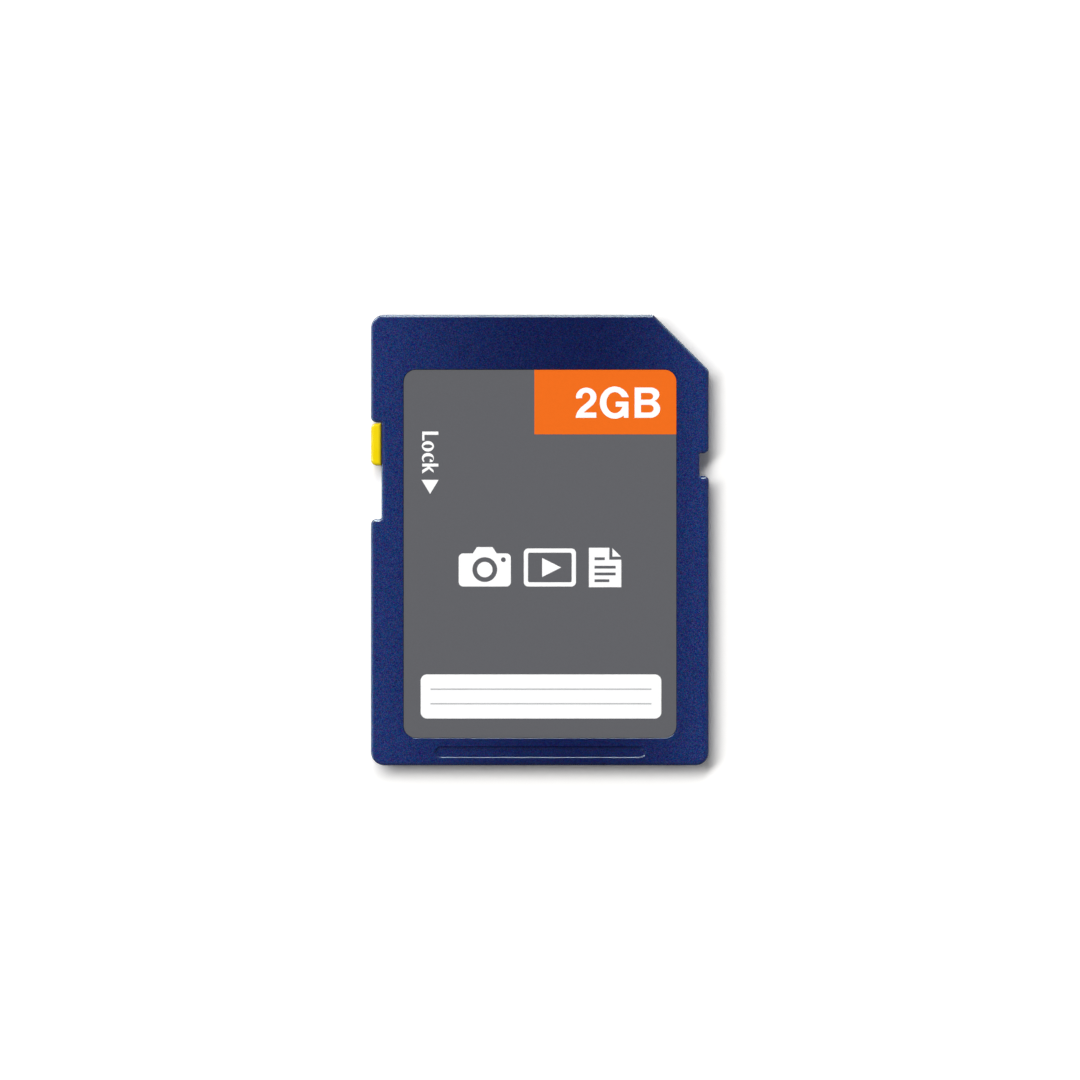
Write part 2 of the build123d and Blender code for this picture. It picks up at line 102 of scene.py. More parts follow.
# Studio walls: where the flag overhead begins and is full, as the sine of the height above the
# horizon, and the heading in which the walls are brightest
FLAG_BEGINS = 0.84
FLAG_FULL = 0.97
BRIGHT_WALL = (-0.656, 0.755, 0.0)
WHITE = (1.0, 1.0, 1.0, 1.0)
# Floor: half its width, the heading in which reflections find it paler, and how far that way,
# counted from the card's middle, it is still dark
FLOOR_HALF = 3.0
FLOOR_HEADING = (1.0, 1.0, 0.0)
FLOOR_DARK = -8.0 * MM
# Level heading of the key lamp
KEY_X = -0.68
KEY_Y = 0.73
# Camera: width of its sensor in millimetres, and the nearest and farthest that it sees
SENSOR_WIDTH = 36.0
CLIP_START = 0.01
CLIP_END = 20.0
# Lamps that only reflections show, for the bright lines along the edges. Four of them are strips
# that stand on the floor and end below the front face, so the face can't mirror them from any side.
# Distances and sizes are in metres and powers in watts.
ICE = (0.83, 1.0, 1.0)
SKY = (0.5, 0.9, 1.0)
STRIP_HEIGHT = 1.9 * MM
RimLamp = namedtuple("RimLamp", "name heading distance power width height colour")
RIM_LAMPS = (
    RimLamp("rim_top", (-0.4, 1.0, 0.048), 0.300, 1.42, 0.380, 0.020, ICE),
    RimLamp("rim_lead", (0.0, 24.0, 1.0), 0.024, 0.00045, 0.026, STRIP_HEIGHT, ICE),
    RimLamp("rim_corner", (-17.7, 21.7, 1.0), 0.028, 0.0008, 0.006, STRIP_HEIGHT, ICE),
    RimLamp("rim_left", (-20.0, 0.0, 1.0), 0.020, 0.0038, 0.040, STRIP_HEIGHT, SKY),
    RimLamp("rim_cut", (17.7, 17.7, 1.0), 0.025, 0.0008, 0.010, STRIP_HEIGHT, SKY),
    RimLamp("rim_right", (0.57, 0.82, 0.70), 0.300, 0.17, 0.320, 0.106, SKY),
)


def colour(name, description, default):
    """A colour that a user may change, written in linear light."""
    return FloatVectorProperty(
        name=name, description=description, default=default, size=4, subtype="COLOR", min=0.0, max=1.0
    )


def share(name, description, default):
    """A share of red, green and blue that a user may change."""
    return FloatVectorProperty(name=name, description=description, default=default, size=3, min=0.0)


def length(name, description, default):
    """A length that a user may change, in metres."""
    return FloatProperty(
        name=name, description=description, default=default, unit="LENGTH", precision=5
    )


class CardColours(bpy.types.PropertyGroup):
    """Colours of the card's plastics, print, metal and electronics."""

    # The shell's blue where no shade is painted, along the two long sides
    shell: colour("Shell", "Moulded plastic along the two long sides", (0.0168, 0.0324, 0.1420, 1.0))
    # Painted shade: the shell's blue where the painted shade is deepest, right of the middle
    shell_painted_shade: colour("Shell Deep", "Plastic right of the middle", (0.0068, 0.0122, 0.0700, 1.0))
    grain_low: share("Dark Grain", "The darkest grains, as a share of the shell", (0.03, 0.08, 0.25))
    grain_high: share("Bright Grain", "The brightest grains, as such a share", (3.45, 1.92, 1.75))
    label: colour("Label", "Printed film on the front", (0.1215, 0.1230, 0.1340, 1.0))
    field: colour("Colour Field", "Print at the label's upper right", (0.885, 0.157, 0.0125, 1.0))
    print_white: colour("White Print", "Lettering, pictograms and note panel", (1.0, 1.0, 1.0, 1.0))
    rule: colour("Rule Print", "Ruled lines on the note panel", (0.34, 0.345, 0.36, 1.0))
    slider: colour("Slider", "Lock slider", (0.865, 0.652, 0.0, 1.0))
    gold: colour("Gold", "Plating of the contact pads", (0.94, 0.66, 0.26, 1.0))
    gold_worn: colour("Worn Gold", "Plating where springs have wiped it", (0.72, 0.54, 0.30, 1.0))
    mask: colour("Solder Mask", "Lacquer over the circuit board", (0.012, 0.080, 0.042, 1.0))
    mask_track: colour("Track", "Copper seen through the lacquer", (0.026, 0.140, 0.060, 1.0))
    moulding: colour("Chip Moulding", "Moulding compound of the chips", (0.020, 0.020, 0.022, 1.0))
    tin: colour("Tin", "Leads and terminals", (0.62, 0.62, 0.60, 1.0))
    capacitor: colour("Capacitor", "Fired ceramic body", (0.42, 0.28, 0.16, 1.0))
    resistor: colour("Resistor", "Glazed top", (0.035, 0.035, 0.040, 1.0))


class CardPrint(bpy.types.PropertyGroup):
    """Places and sizes of the print on the label."""

    ink: length("Ink Thickness", "How far the print stands on the film", 0.008 * MM)
    field_left: length("Field Left", "Left side of the colour field", -0.40 * MM)
    field_low: length("Field Low", "Lower side of the colour field", 7.50 * MM)
    field_corner: length("Field Corner", "Rounding that follows the label's corner", 0.86 * MM)
    capacity_left: length("Capacity Left", "Left side of the figures", 2.535 * MM)
    capacity_right: length("Capacity Right", "Right side of the figures", 8.527 * MM)
    capacity_low: length("Capacity Low", "Foot of the figures", 8.608 * MM)
    capacity_high: length("Capacity High", "Top of the figures", 10.891 * MM)
    lock_left: length("Lock Left", "Left side of the turned word", -8.385 * MM)
    lock_right: length("Lock Right", "Right side of the turned word", -7.215 * MM)
    lock_low: length("Lock Low", "Lower end of the turned word", 4.72 * MM)
    lock_high: length("Lock High", "Upper end of the turned word", 7.695 * MM)
    arrow_half: length("Arrow Half Width", "Half the width of the lock arrow", 0.605 * MM)
    arrow_low: length("Arrow Low", "Tip of the lock arrow", 3.27 * MM)
    arrow_high: length("Arrow High", "Base of the lock arrow", 4.27 * MM)
    icon_row: length("Pictogram Row", "Middle line of the pictograms", -1.95 * MM)
    icon_left: length("Pictograms Left", "Left side of the row of pictograms", -5.77 * MM)
    icon_gap: length("Pictogram Gap", "Space between pictograms", 0.92 * MM)
    icon_scale: FloatProperty(
        name="Pictogram Scale", description="Size of the pictograms", default=1.0, subtype="FACTOR"
    )
    panel_left: length("Panel Left", "Left side of the note panel", -8.47 * MM)
    panel_right: length("Panel Right", "Right side of the note panel", 8.61 * MM)
    panel_low: length("Panel Low", "Lower side of the note panel", -12.67 * MM)
    panel_high: length("Panel High", "Upper side of the note panel", -9.54 * MM)
    panel_corner: length("Panel Corner", "Rounding of the note panel", 0.45 * MM)
    rule_count: IntProperty(name="Rules", description="Ruled lines on the note panel", default=2, min=1)
    rule_width: length("Rule Width", "Thickness of a ruled line", 0.07 * MM)
    rule_margin: length("Rule Margin", "Space beside a ruled line", 0.70 * MM)


class CardContacts(bpy.types.PropertyGroup):
    """Plating tails that run from the contact pads to the board's edge."""

    tail_width: length("Tail Width", "Width of a plating tail", 0.30 * MM)
    tail_plate: length("Tail Plate", "Thickness of a plating tail", 0.02 * MM)


class CardStage(bpy.types.PropertyGroup):
    """Camera, lamps and floor."""

    lens: FloatProperty(
        name="Lens", description="Focal length of the camera", default=200.0, unit="CAMERA"
    )
    camera_height: length("Camera Height", "Camera above the front face", 425.8 * MM)
    key_zenith: FloatProperty(
        name="Key Zenith",
        description="Angle of the key light from straight above",
        default=math.radians(26.0),
        subtype="ANGLE",
    )
    key_distance: length("Key Distance", "Key light from the card", 2.0)
    key_long: length("Key Long Side", "Level width of the key light", 1.96)
    key_short: length("Key Short Side", "Height of the key light", 0.456)
    key_power: FloatProperty(
        name="Key Power", description="Light that the key gives off", default=35.3, unit="POWER"
    )
    dome_level: FloatProperty(
        name="Dome Level", description="Brightness of the studio walls", default=0.392, subtype="FACTOR"
    )
    dome_lean: FloatProperty(
        name="Dome Lean",
        description="How much brighter the walls are beyond the upper left edge than opposite",
        default=0.90,
        subtype="FACTOR",
    )
    ceiling_level: FloatProperty(
        name="Ceiling Level",
        description="Brightness of the flag overhead",
        default=0.044,
        subtype="FACTOR",
    )
    floor: FloatProperty(
        name="Floor",
        description="Light that the paper gives back to the card",
        default=0.16,
        subtype="FACTOR",
    )
    floor_lift: share("Floor Lift", "Brightness of the paper to the eye", (1.10, 1.09, 1.07))


def socket(sockets, identifier):
    """The socket with that identifier, where several share a name."""
    return next(each for each in sockets if each.identifier == identifier)


def tinted(base, gain, lift=0.0):
    """A colour made paler or deeper, no brighter than full white."""
    return [min(1.0, channel * gain + lift) for channel in base[:3]] + [1.0]


class Nodes:
    """A node tree being built."""

    def __init__(self, tree):
        self.tree = tree

    def node(self, kind, **settings):
        """A new node with its settings."""
        made = self.tree.nodes.new(kind)
        for key, value in settings.items():
            setattr(made, key, value)
        return made

    def link(self, source, target):
        """Joins an output to an input."""
        self.tree.links.new(source, target)

    def feed(self, value, target):
        """Gives an input its value, which may be an output or a constant."""
        if isinstance(value, bpy.types.NodeSocket):
            self.link(value, target)
        else:
            target.default_value = value

    def along(self, vector, axis):
        """One coordinate of a vector."""
        made = self.node("ShaderNodeSeparateXYZ")
        self.link(vector, made.inputs["Vector"])
        return made.outputs[axis]

    def reach(self, vector, heading):
        """How far a vector reaches in a fixed direction."""
        made = self.node("ShaderNodeVectorMath", operation="DOT_PRODUCT")
        self.link(vector, made.inputs[0])
        made.inputs[1].default_value = heading
        return made.outputs["Value"]

    def spread(self, value, low, high, to_low=0.0, to_high=1.0, smooth=False):
        """A value stretched from one range to another and held there."""
        curve = "SMOOTHSTEP" if smooth else "LINEAR"
        made = self.node("ShaderNodeMapRange", interpolation_type=curve)
        self.link(value, made.inputs["Value"])
        made.inputs["From Min"].default_value = low
        made.inputs["From Max"].default_value = high
        made.inputs["To Min"].default_value = to_low
        made.inputs["To Max"].default_value = to_high
        return made.outputs["Result"]

    def maths(self, operation, first, second):
        """Two values put through an operation; the second may be a number."""
        made = self.node("ShaderNodeMath", operation=operation)
        self.link(first, made.inputs[0])
        self.feed(second, made.inputs[1])
        return made.outputs["Value"]

    def mix(self, amount, first, second, blend="MIX"):
        """Two colours mixed; the amount and each colour may be an output or a constant."""
        made = self.node("ShaderNodeMix", data_type="RGBA", blend_type=blend)
        self.feed(amount, socket(made.inputs, "Factor_Float"))
        self.feed(first, socket(made.inputs, "A_Color"))
        self.feed(second, socket(made.inputs, "B_Color"))
        return socket(made.outputs, "Result_Color")

    def choose(self, amount, first, second):
        """Two shaders mixed."""
        made = self.node("ShaderNodeMixShader")
        self.link(amount, made.inputs["Fac"])
        self.link(first, made.inputs[1])
        self.link(second, made.inputs[2])
        return made.outputs["Shader"]


class Finish(Nodes):
    """A material being mixed: its nodes and its shader, on the piece's own coordinates."""

    def __init__(self, name):
        self.material = bpy.data.materials.new(name)
        self.material.use_nodes = True
        super().__init__(self.material.node_tree)
        self.shader = self.tree.nodes["Principled BSDF"]
        self.place = self.node("ShaderNodeTexCoord").outputs["Object"]

    def stretched(self, scale):
        """The piece's coordinates, stretched along its axes."""
        mapping = self.node("ShaderNodeMapping")
        self.link(self.place, mapping.inputs["Vector"])
        mapping.inputs["Scale"].default_value = scale
        return mapping.outputs["Vector"]

    def noise(self, cell, detail=2.0, roughness=0.5, place=None):
        """Noise with cells of about that size, in metres."""
        made = self.node("ShaderNodeTexNoise")
        self.link(place or self.place, made.inputs["Vector"])
        made.inputs["Scale"].default_value = 1.0 / cell
        made.inputs["Detail"].default_value = detail
        made.inputs["Roughness"].default_value = roughness
        return made.outputs["Fac"]

    def mottled(self, noise, low=0.0, high=1.0):
        """Noise stretched so that most of it runs from one value to the other."""
        return self.spread(noise, NOISE_LOW, NOISE_HIGH, low, high)

    def bump(self, height, strength, depth):
        """Relief on the shader, of that depth in metres."""
        made = self.node("ShaderNodeBump")
        made.inputs["Strength"].default_value = strength
        made.inputs["Distance"].default_value = depth
        self.link(height, made.inputs["Height"])
        self.link(made.outputs["Normal"], self.shader.inputs["Normal"])

    def paint(self, base):
        """The colour of the surface."""
        self.link(base, self.shader.inputs["Base Color"])

    def gloss(self, value):
        """The roughness of the surface."""
        self.link(value, self.shader.inputs["Roughness"])

    def fixed(self, name, value):
        """A value that is the same all over, set on the shader itself."""
        self.shader.inputs[name].default_value = value


def painted_shell_shade(finish, colours):
    """The shell's blue with painted shade: paler towards the long sides, deepest right of the middle."""
    across = finish.along(finish.place, "X")
    left = finish.spread(across, PAINTED_SHADE_LEFT_END, PAINTED_SHADE_DEEPEST, to_low=1.0, to_high=0.0)
    right = finish.spread(across, PAINTED_SHADE_DEEPEST, PAINTED_SHADE_RIGHT_END)
    # How little painted shade lies here: none at the long sides, full right of the middle
    pale = finish.maths("POWER", finish.maths("MAXIMUM", left, right), PAINTED_SHADE_POWER)
    return finish.mix(pale, colours.shell_painted_shade, colours.shell)


def shell_speckle(finish, colours):
    """Fine coloured grains, as shares of the shell's red, green and blue."""
    grains = finish.node("ShaderNodeTexVoronoi")
    finish.link(finish.place, grains.inputs["Vector"])
    grains.inputs["Scale"].default_value = 1.0 / GRAIN
    chance = finish.node("ShaderNodeSeparateXYZ")
    finish.link(grains.outputs["Color"], chance.inputs["Vector"])
    red = finish.maths("POWER", chance.outputs["X"], RED_POWER)
    green = chance.outputs["Y"]
    with_green = finish.maths("MULTIPLY", green, BLUE_WITH_GREEN)
    alone = finish.maths("MULTIPLY", chance.outputs["Z"], 1.0 - BLUE_WITH_GREEN)
    tint = finish.node("ShaderNodeCombineXYZ")
    finish.link(red, tint.inputs["X"])
    finish.link(green, tint.inputs["Y"])
    finish.link(finish.maths("ADD", with_green, alone), tint.inputs["Z"])
    speckle = finish.node("ShaderNodeMapRange", data_type="FLOAT_VECTOR")
    finish.link(tint.outputs["Vector"], speckle.inputs["Vector"])
    socket(speckle.inputs, "To_Min_FLOAT3").default_value = colours.grain_low
    socket(speckle.inputs, "To_Max_FLOAT3").default_value = colours.grain_high
    return speckle.outputs["Vector"]


def moulded_shell(colours):
    """Blue plastic from a spark-eroded mould, with a coloured speckle and painted shade across the card.
    """
    finish = Finish("moulded_shell")
    # The blue with its painted shade, then the speckle on top
    blue_with_painted_shade = painted_shell_shade(finish, colours)
    speckle = shell_speckle(finish, colours)
    finish.paint(finish.mix(1.0, blue_with_painted_shade, speckle, blend="MULTIPLY"))
    relief = finish.noise(cell=0.10 * MM, roughness=0.6)
    finish.gloss(finish.mottled(relief, low=0.21, high=0.16))
    finish.bump(relief, strength=0.5, depth=0.004 * MM)
    finish.fixed("Specular IOR Level", PLASTIC_SPECULAR)
    return finish.material


def yellow_slider(colours):
    """Smooth yellow plastic with a faint flow mark and light rubbing."""
    finish = Finish("yellow_slider")
    flow = finish.noise(cell=0.9 * MM, place=finish.stretched((1.0, 0.4, 1.0)))
    pale = tinted(colours.slider, gain=1.05, lift=0.01)
    finish.paint(finish.mix(finish.mottled(flow), colours.slider, pale))
    rub = finish.noise(cell=0.12 * MM, detail=3.0, place=finish.stretched((1.0, 0.25, 1.0)))
    finish.gloss(finish.mottled(rub, low=0.18, high=0.24))
    finish.bump(rub, strength=0.3, depth=0.001 * MM)
    finish.fixed("Specular IOR Level", PLASTIC_SPECULAR)
    return finish.material


def label_film(colours):
    """Grey printed film, satin, with a very fine print mottle."""
    finish = Finish("label_film")
    mottle = finish.noise(cell=0.11 * MM)
    pale = tinted(colours.label, gain=1.02)
    deep = tinted(colours.label, gain=0.98)
    finish.paint(finish.mix(finish.mottled(mottle), deep, pale))
    finish.gloss(finish.mottled(finish.noise(cell=0.15 * MM), low=0.19, high=0.22))
    finish.bump(finish.noise(cell=0.06 * MM), strength=0.25, depth=0.0005 * MM)
    finish.fixed("Specular IOR Level", PLASTIC_SPECULAR)
    return finish.material


def printed_ink(name, base, unevenness):
    """Screen-printed ink, nearly even, a little rougher than the film."""
    finish = Finish(name)
    cover = finish.noise(cell=0.25 * MM, detail=3.0)
    deep = tinted(base, gain=1.0 - unevenness)
    finish.paint(finish.mix(finish.mottled(cover), deep, base))
    finish.gloss(finish.mottled(finish.noise(cell=0.10 * MM), low=0.20, high=0.24))
    finish.bump(finish.noise(cell=0.05 * MM), strength=0.1, depth=0.0002 * MM)
    finish.fixed("Specular IOR Level", PLASTIC_SPECULAR)
    return finish.material


def gold_plate(colours):
    """Gold plating with the fine streaks that socket springs wipe along the pads."""
    finish = Finish("gold_plate")
    lengthways = finish.stretched((1.0, 0.05, 1.0))
    wipe = finish.noise(cell=0.10 * MM, detail=3.0, roughness=0.6, place=lengthways)
    patch = finish.noise(cell=0.9 * MM)
    streaks = finish.spread(wipe, low=0.50, high=0.80, to_high=0.6)
    worn = finish.mix(streaks, colours.gold, colours.gold_worn)
    finish.paint(finish.mix(finish.spread(patch, low=0.35, high=0.70), colours.gold, worn))
    finish.gloss(finish.mottled(wipe, low=0.22, high=0.30))
    finish.bump(wipe, strength=0.15, depth=0.0008 * MM)
    finish.fixed("Metallic", 1.0)
    return finish.material


def solder_mask(colours):
    """Green lacquer over glass laminate, with copper tracks faintly showing through."""
    finish = Finish("solder_mask")
    tracks = finish.node("ShaderNodeTexWave", wave_type="BANDS", bands_direction="DIAGONAL")
    finish.link(finish.place, tracks.inputs["Vector"])
    tracks.inputs["Scale"].default_value = TRACK_SCALE
    tracks.inputs["Distortion"].default_value = TRACK_WANDER
    showing = finish.spread(tracks.outputs["Fac"], low=0.55, high=0.75)
    finish.paint(finish.mix(showing, colours.mask, colours.mask_track))
    finish.gloss(finish.mottled(finish.noise(cell=0.2 * MM), low=0.28, high=0.42))
    finish.bump(tracks.outputs["Fac"], strength=0.4, depth=0.010 * MM)
    return finish.material


def dull_compound(name, base, cell, contrast):
    """A dull cast or fired material with fine grit."""
    finish = Finish(name)
    grit = finish.noise(cell, detail=3.0, roughness=0.7)
    pale = tinted(base, gain=1.0 + contrast, lift=0.01)
    finish.paint(finish.mix(finish.mottled(grit), base, pale))
    finish.gloss(finish.mottled(grit, low=0.5, high=0.7))
    finish.bump(grit, strength=0.4, depth=0.006 * MM)
    return finish.material


def tin_plate(colours):
    """Bright tin on copper leads, slightly clouded."""
    finish = Finish("tin_plate")
    cloud = finish.noise(cell=0.15 * MM, detail=3.0)
    dull = tinted(colours.tin, gain=0.8)
    finish.paint(finish.mix(finish.mottled(cloud), dull, colours.tin))
    finish.gloss(finish.mottled(cloud, low=0.22, high=0.40))
    finish.fixed("Metallic", 1.0)
    return finish.material


def dress(material, *names):
    """Gives CAD nodes a finish."""
    for name in names:
        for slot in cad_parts[name].material_slots:
            slot.material = material


def add_piece(name, mesh, material, body):
    """A finished piece at the origin that rides on a body."""
    mesh.name = name
    mesh.materials.clear()
    mesh.materials.append(material)
    piece = bpy.data.objects.new(name, mesh)
    bpy.context.scene.collection.objects.link(piece)
    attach(piece, body)
    return piece


def plain_mesh(obj):
    """The mesh that an object comes to with its modifiers; the object is then removed."""
    evaluated = obj.evaluated_get(bpy.context.evaluated_depsgraph_get())
    mesh = bpy.data.meshes.new_from_object(evaluated)
    data = obj.data
    bpy.data.objects.remove(obj)
    if isinstance(data, bpy.types.Curve):
        bpy.data.curves.remove(data)
    else:
        bpy.data.meshes.remove(data)
    return mesh


def closed(mesh):
    """Welds a mesh and turns its faces outwards."""
    build = bmesh.new()
    build.from_mesh(mesh)
    bmesh.ops.remove_doubles(build, verts=build.verts, dist=WELD)
    bmesh.ops.recalc_face_normals(build, faces=build.faces)
    build.to_mesh(mesh)
    build.free()
    return mesh


def fitted(mesh, low, high):
    """Scales and moves a mesh so that its box runs from one corner to the other."""
    points = [vertex.co for vertex in mesh.vertices]
    from_low = Vector([min(point[axis] for point in points) for axis in range(3)])
    from_high = Vector([max(point[axis] for point in points) for axis in range(3)])
    scale = [(high[axis] - low[axis]) / (from_high[axis] - from_low[axis]) for axis in range(3)]
    mesh.transform(Matrix.Translation(-from_low))
    mesh.transform(Matrix.Diagonal((*scale, 1.0)))
    mesh.transform(Matrix.Translation(Vector(low)))
    return mesh


def flat_shape(outlines):
    """A sheet of unit thickness from closed outlines in millimetres; one inside another is a hole."""
    curve = bpy.data.curves.new("outline", "CURVE")
    curve.dimensions = "2D"
    curve.fill_mode = "BOTH"
    curve.extrude = HALF_SHEET
    for outline in outlines:
        spline = curve.splines.new("POLY")
        spline.points.add(len(outline) - 1)
        for point, (x, y) in zip(spline.points, outline):
            point.co = (x, y, 0.0, 1.0)
        spline.use_cyclic_u = True
    shape = bpy.data.objects.new("outline", curve)
    bpy.context.scene.collection.objects.link(shape)
    return closed(plain_mesh(shape))


def laid(mesh, bottom, thickness):
    """A sheet drawn in millimetres, brought to metres and laid on a level."""
    mesh.transform(Matrix.Diagonal((MM, MM, thickness, 1.0)))
    mesh.transform(Matrix.Translation((0.0, 0.0, bottom + thickness / 2)))
    return mesh


def arc(centre, radius, start, end, steps):
    """Points along an arc, angles in degrees."""
    points = []
    for step in range(steps + 1):
        angle = math.radians(start + (end - start) * step / steps)
        points.append((centre[0] + radius * math.cos(angle), centre[1] + radius * math.sin(angle)))
    return points


def ring(centre, radius, steps=48):
    """Points round a circle."""
    return arc(centre, radius, 0.0, 360.0 - 360.0 / steps, steps - 1)


def soft_box(left, right, low, high, radius, steps=10):
    """Points round a rectangle with rounded corners."""
    return (
        arc((right - radius, high - radius), radius, 0.0, 90.0, steps)
        + arc((left + radius, high - radius), radius, 90.0, 180.0, steps)
        + arc((left + radius, low + radius), radius, 180.0, 270.0, steps)
        + arc((right - radius, low + radius), radius, 270.0, 360.0, steps)
    )


def moved(outline, x, y, scale):
    """An outline scaled and moved."""
    return [(px * scale + x, py * scale + y) for px, py in outline]


def oval(centre, half_width, half_height, start, end, steps=24):
    """Points along an arc of an oval, angles in degrees."""
    round_arc = arc((0.0, 0.0), 1.0, start, end, steps)
    return [(centre[0] + x * half_width, centre[1] + y * half_height) for x, y in round_arc]


def bend(first, pull, push, last, steps=16):
    """Points along a smooth bend between two points, with the two handles that shape it."""
    points = []
    for step in range(steps + 1):
        t = step / steps
        shares = ((1 - t) ** 3, 3 * t * (1 - t) ** 2, 3 * t**2 * (1 - t), t**3)
        handles = (first, pull, push, last)
        points.append(tuple(sum(s * p[axis] for s, p in zip(shares, handles)) for axis in (0, 1)))
    return points


def figure_two():
    """A bold 2 with its foot at zero."""
    bowl = (0.75, 1.50)
    bar = 0.38
    right = 1.465
    outline = oval(bowl, 0.73, 0.68, 189.0, -35.0)
    outline += bend((1.348, 1.11), (1.22, 0.86), (0.76, 0.58), (0.56, bar))
    outline += [(right, bar), (right, 0.0), (0.0, 0.0)]
    outline += bend((0.0, 0.0), (0.05, 0.76), (0.86, 0.99), (1.005, 1.34))
    outline += oval(bowl, 0.30, 0.32, -30.0, 192.0)
    return outline


def letter_g():
    """A bold G in its place after the 2."""
    middle = (2.78, 1.095)
    right = 3.755
    shelf_left = 2.85
    shelf_top = 1.17
    outline = oval(middle, 1.065, 1.165, 20.0, 306.0, steps=48)
    outline += [(3.445, 0.0), (right, 0.0), (right, shelf_top)]
    outline += [(shelf_left, shelf_top), (shelf_left, 0.80)]
    outline += oval(middle, 0.595, 0.765, -22.7, -328.5, steps=40)
    return outline


def letter_b():
    """A bold B in its place after the G, with its two holes."""
    stem = 4.20
    inner = stem + 0.45
    top = 2.19
    belly = 5.32
    outline = [(stem, 0.0), (stem, top), (belly, top)]
    outline += oval((belly, 1.68), 0.635, 0.51, 90.0, -64.0)
    outline += oval((belly, 0.64), 0.695, 0.64, 62.0, -90.0)
    upper = [(inner, top - 0.39)] + oval((5.24, 1.555), 0.28, 0.245, 90.0, -90.0) + [(inner, 1.31)]
    lower = [(inner, 0.94)] + oval((5.26, 0.66), 0.29, 0.28, 90.0, -90.0) + [(inner, 0.38)]
    return [outline, upper, lower]


def capacity_outlines():
    """The figures 2GB in a plain bold face, in millimetres from the foot of the 2."""
    return [figure_two(), letter_g()] + letter_b()


def lock_outlines():
    """The word Lock in a face with thick stems and thin arms, in millimetres from its foot."""
    tall = 1.14
    middle = 0.40
    big_stem = 0.23
    arm = 0.155
    arm_end = 0.645
    big_l = [(0.0, 0.0), (arm_end, 0.0), (arm_end, arm), (big_stem, arm), (big_stem, tall), (0.0, tall)]
    ring_out = oval((1.045, middle), 0.375, 0.425, 0.0, 350.0, steps=35)
    ring_in = oval((1.050, middle), 0.140, 0.315, 0.0, 350.0, steps=35)
    small_c = [(2.175, 0.52)] + oval((1.90, middle), 0.385, 0.425, 47.0, 316.0, steps=32)
    small_c += oval((1.96, 0.44), 0.21, 0.345, 310.0, 62.0, steps=28) + [(1.94, 0.545)]
    left = 2.28
    right = 2.49
    small_k = [(left, 0.0), (right, 0.0), (right, 0.36), (2.515, 0.385), (2.735, 0.0), (2.985, 0.0)]
    small_k += [(2.665, 0.475), (2.935, 0.81), (2.745, 0.79), (right, 0.52), (right, tall), (left, tall)]
    return [big_l, ring_out, ring_in, small_c, small_k]


def camera_outlines():
    """A still camera seen from the front."""
    body = soft_box(-ICON_HALF, ICON_HALF, -1.35, 1.0, ICON_CORNER)
    hump = [(0.85, 1.0), (0.55, 1.45), (-0.55, 1.45), (-0.85, 1.0)]
    left = next(place for place, point in enumerate(body) if point[0] < 0.0)
    outline = body[:left] + hump + body[left:]
    lens = (0.0, -0.15)
    finder = (1.32, 0.55)
    return [outline, ring(lens, 0.88), ring(lens, 0.55), ring(finder, 0.17, steps=24)]


def play_outlines():
    """A screen with a play mark."""
    return [
        soft_box(-ICON_HALF, ICON_HALF, -1.35, 1.35, ICON_CORNER),
        soft_box(-1.55, 1.55, -1.05, 1.05, 0.12),
        [(-0.55, -0.68), (0.80, 0.0), (-0.55, 0.68)],
    ]


def page_outlines():
    """A written page with a folded corner."""
    sheet = [(-1.15, -1.4), (1.15, -1.4), (1.15, 0.55), (0.30, 0.55), (0.30, 1.4), (-1.15, 1.4)]
    fold = [(0.52, 0.77), (1.12, 0.77), (0.52, 1.37)]
    left = -0.75
    half = 0.1
    lines = []
    for y, right in ((0.62, -0.02), (0.02, 0.75), (-0.46, 0.75), (-0.94, 0.30)):
        lines.append([(left, y - half), (right, y - half), (right, y + half), (left, y + half)])
    return [sheet, fold] + lines


def node_group(name, inputs):
    """An empty geometry tree with named inputs and a mesh output."""
    tree = bpy.data.node_groups.new(name, "GeometryNodeTree")
    tree.is_modifier = True
    for label, kind in inputs:
        tree.interface.new_socket(label, in_out="INPUT", socket_type=kind)
    tree.interface.new_socket("Geometry", in_out="OUTPUT", socket_type="NodeSocketGeometry")
    return tree


def bars_tree():
    """A row of like bars: count, first place, step and size of a bar."""
    tree = node_group(
        "bar_row",
        (
            ("Count", "NodeSocketInt"),
            ("First", "NodeSocketVector"),
            ("Step", "NodeSocketVector"),
            ("Bar", "NodeSocketVector"),
            ("Finish", "NodeSocketMaterial"),
        ),
    )
    start = tree.nodes.new("NodeGroupInput").outputs
    row = tree.nodes.new("GeometryNodeMeshLine")
    row.mode = "OFFSET"
    bar = tree.nodes.new("GeometryNodeMeshCube")
    place = tree.nodes.new("GeometryNodeInstanceOnPoints")
    real = tree.nodes.new("GeometryNodeRealizeInstances")
    finish = tree.nodes.new("GeometryNodeSetMaterial")
    end = tree.nodes.new("NodeGroupOutput")
    for source, target in (
        (start["Count"], row.inputs["Count"]),
        (start["First"], row.inputs["Start Location"]),
        (start["Step"], row.inputs["Offset"]),
        (start["Bar"], bar.inputs["Size"]),
        (row.outputs["Mesh"], place.inputs["Points"]),
        (bar.outputs["Mesh"], place.inputs["Instance"]),
        (place.outputs["Instances"], real.inputs["Geometry"]),
        (real.outputs["Geometry"], finish.inputs["Geometry"]),
        (start["Finish"], finish.inputs["Material"]),
        (finish.outputs["Geometry"], end.inputs["Geometry"]),
    ):
        tree.links.new(source, target)
    return tree


